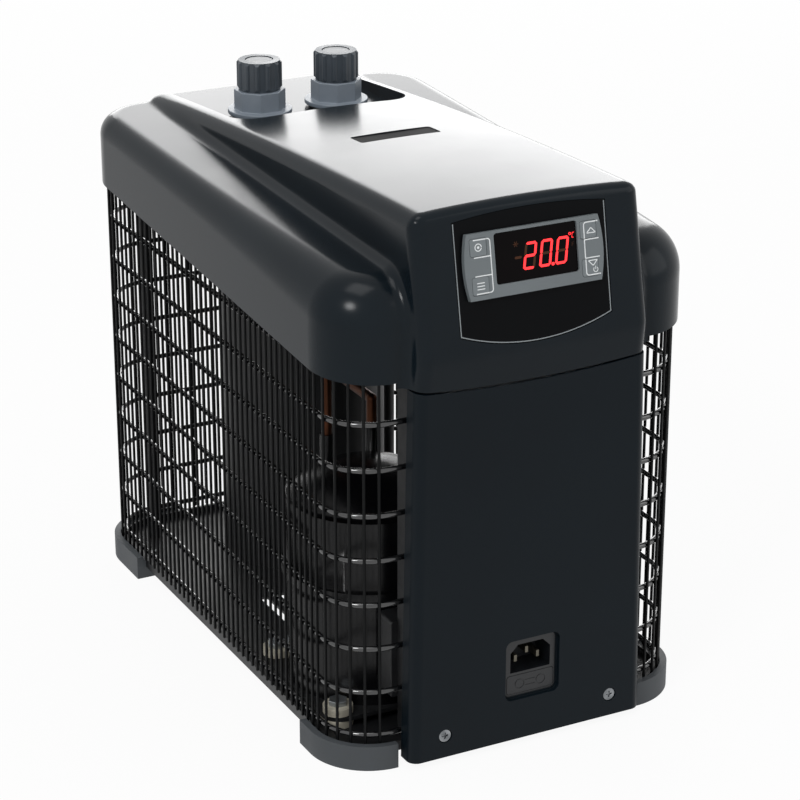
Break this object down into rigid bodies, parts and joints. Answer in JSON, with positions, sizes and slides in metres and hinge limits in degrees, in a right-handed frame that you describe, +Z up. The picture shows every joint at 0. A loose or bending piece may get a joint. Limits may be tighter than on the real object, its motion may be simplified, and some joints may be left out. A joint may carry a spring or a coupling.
{
  "type": "aquarium chiller",
  "caption": "Wire-caged aquarium chiller with a tapered front panel, a mains inlet, a leaning display face and hose unions on its hood.",
  "frame": {"origin": "on the floor, under the middle of the whole part's box", "axes": "+Z up, -Y out of the front panel, +X to the right of someone who looks at the front panel"},
  "size_m": [0.224, 0.3635, 0.3252],
  "materials": {
    "black_steel": "satin black powder coat",
    "foot_grey": "dark grey rubber",
    "zinc": "bright zinc plate",
    "grey_steel": "galvanised sheet",
    "satin_black": "satin black moulding",
    "black_screw": "blackened steel",
    "cage_black": "black plastic coat",
    "gloss_black": "high gloss black",
    "badge": "plain black plate",
    "fascia": "plain black plate",
    "dark_plastic": "dark moulding",
    "bezel_grey": "fine satin grey",
    "window": "smoked red window",
    "display_red": "lit red figures",
    "board_green": "green board",
    "clip_orange": "moulded spring clip",
    "key_grey": "soft grey key",
    "inlet_black": "black moulding",
    "pin_brass": "nickelled brass",
    "fuse_glass": "glass tube with metal caps",
    "can_black": "gloss black enamel",
    "grommet_rubber": "pale rubber",
    "fin_aluminium": "thin bright fins",
    "copper": "copper tube",
    "motor_grey": "grey enamel",
    "tank_plastic": "dark grey moulding",
    "titanium": "plain titanium tube",
    "hose_rubber": "black rubber",
    "union_grey": "blue-grey moulding",
    "nut_grey": "dark blue-grey moulding",
    "disc_grey": "light grey moulding",
    "cable_black": "black sheath"
  },
  "bodies": {
    "chassis": {"base_tray": "black_steel", "foot_front_left": "foot_grey", "foot_front_right": "foot_grey", "foot_rear_left": "foot_grey", "foot_rear_right": "foot_grey", "rear_posts": "zinc", "front_frame": "grey_steel", "front_panel": "satin_black", "panel_screws": "black_screw", "frame_screws": "zinc", "grille_left_rods": "cage_black", "grille_left_wires": "cage_black", "grille_right_rods": "cage_black", "grille_right_wires": "cage_black", "grille_rear_rods": "cage_black", "grille_rear_wires": "cage_black", "hood": "gloss_black", "badge_plate": "badge", "fascia_plate": "fascia", "controller_housing": "dark_plastic", "controller_bezel": "bezel_grey", "display_window": "window", "display_module": "display_red", "controller_board": "board_green", "controller_clips": "clip_orange", "inlet_socket": "inlet_black", "inlet_pins": "pin_brass", "compressor_can": "can_black", "compressor_plate": "black_steel", "compressor_grommets": "grommet_rubber", "compressor_bolts": "zinc", "terminal_cover": "dark_plastic", "condenser_fins": "fin_aluminium", "condenser_tube": "copper", "fan_shroud": "grey_steel", "motor_bracket": "grey_steel", "fan_motor": "motor_grey", "tank": "tank_plastic", "tank_lid": "tank_plastic", "evaporator_coil": "titanium", "riser_hoses": "hose_rubber", "water_in_body": "union_grey", "water_out_body": "union_grey", "union_gaskets": "hose_rubber", "union_back_nuts": "dark_plastic", "filter_drier": "copper", "refrigerant_lines": "copper", "power_board": "board_green", "wiring": "cable_black"},
    "fan": {"fan_rotor": "dark_plastic"},
    "drawer": {"fuse_drawer": "inlet_black", "fuse": "fuse_glass"},
    "key_upper_left_body": {"key_upper_left": "key_grey"},
    "key_lower_left_body": {"key_lower_left": "key_grey"},
    "key_upper_right_body": {"key_upper_right": "key_grey"},
    "key_lower_right_body": {"key_lower_right": "key_grey"},
    "disc_in": {"water_in_disc": "disc_grey"},
    "nut_in": {"water_in_nut": "nut_grey"},
    "disc_out": {"water_out_disc": "disc_grey"},
    "nut_out": {"water_out_nut": "nut_grey"}
  },
  "joints": [
    {"name": "fan_spin", "type": "hinge", "parent": "chassis", "child": "fan", "pos_m": [0.04, -0.058, 0.0965], "axis": [1, 0, 0], "continuous": true},
    {"name": "fuse_drawer_slide", "type": "slide", "parent": "chassis", "child": "drawer", "axis": [0, -1, 0], "range_m": [0, 0.022]},
    {"name": "key_upper_left_press", "type": "slide", "parent": "chassis", "child": "key_upper_left_body", "axis": [0, 0.9833, -0.1822], "range_m": [0, 0.0006], "stiffness_N_per_m": 400},
    {"name": "key_lower_left_press", "type": "slide", "parent": "chassis", "child": "key_lower_left_body", "axis": [0, 0.9833, -0.1822], "range_m": [0, 0.0006], "stiffness_N_per_m": 400},
    {"name": "key_upper_right_press", "type": "slide", "parent": "chassis", "child": "key_upper_right_body", "axis": [0, 0.9833, -0.1822], "range_m": [0, 0.0006], "stiffness_N_per_m": 400},
    {"name": "key_lower_right_press", "type": "slide", "parent": "chassis", "child": "key_lower_right_body", "axis": [0, 0.9833, -0.1822], "range_m": [0, 0.0006], "stiffness_N_per_m": 400},
    {"name": "nut_in_lift", "type": "slide", "parent": "chassis", "child": "disc_in", "axis": [0, 0, 1], "range_m": [0, 0.01]},
    {"name": "nut_in_turn", "type": "hinge", "parent": "disc_in", "child": "nut_in", "pos_m": [-0.0253, 0.1072, 0.3076], "axis": [0, 0, 1], "range_deg": [0, 1440]},
    {"name": "nut_out_lift", "type": "slide", "parent": "chassis", "child": "disc_out", "axis": [0, 0, 1], "range_m": [0, 0.01]},
    {"name": "nut_out_turn", "type": "hinge", "parent": "disc_out", "child": "nut_out", "pos_m": [0.0253, 0.1072, 0.3076], "axis": [0, 0, 1], "range_deg": [0, 1440]}
  ],
  "couplings": [
    {"joint": "nut_in_turn", "follows": "nut_in_lift", "rad_per_m": 2513.3},
    {"joint": "nut_out_turn", "follows": "nut_out_lift", "rad_per_m": 2513.3}
  ]
}
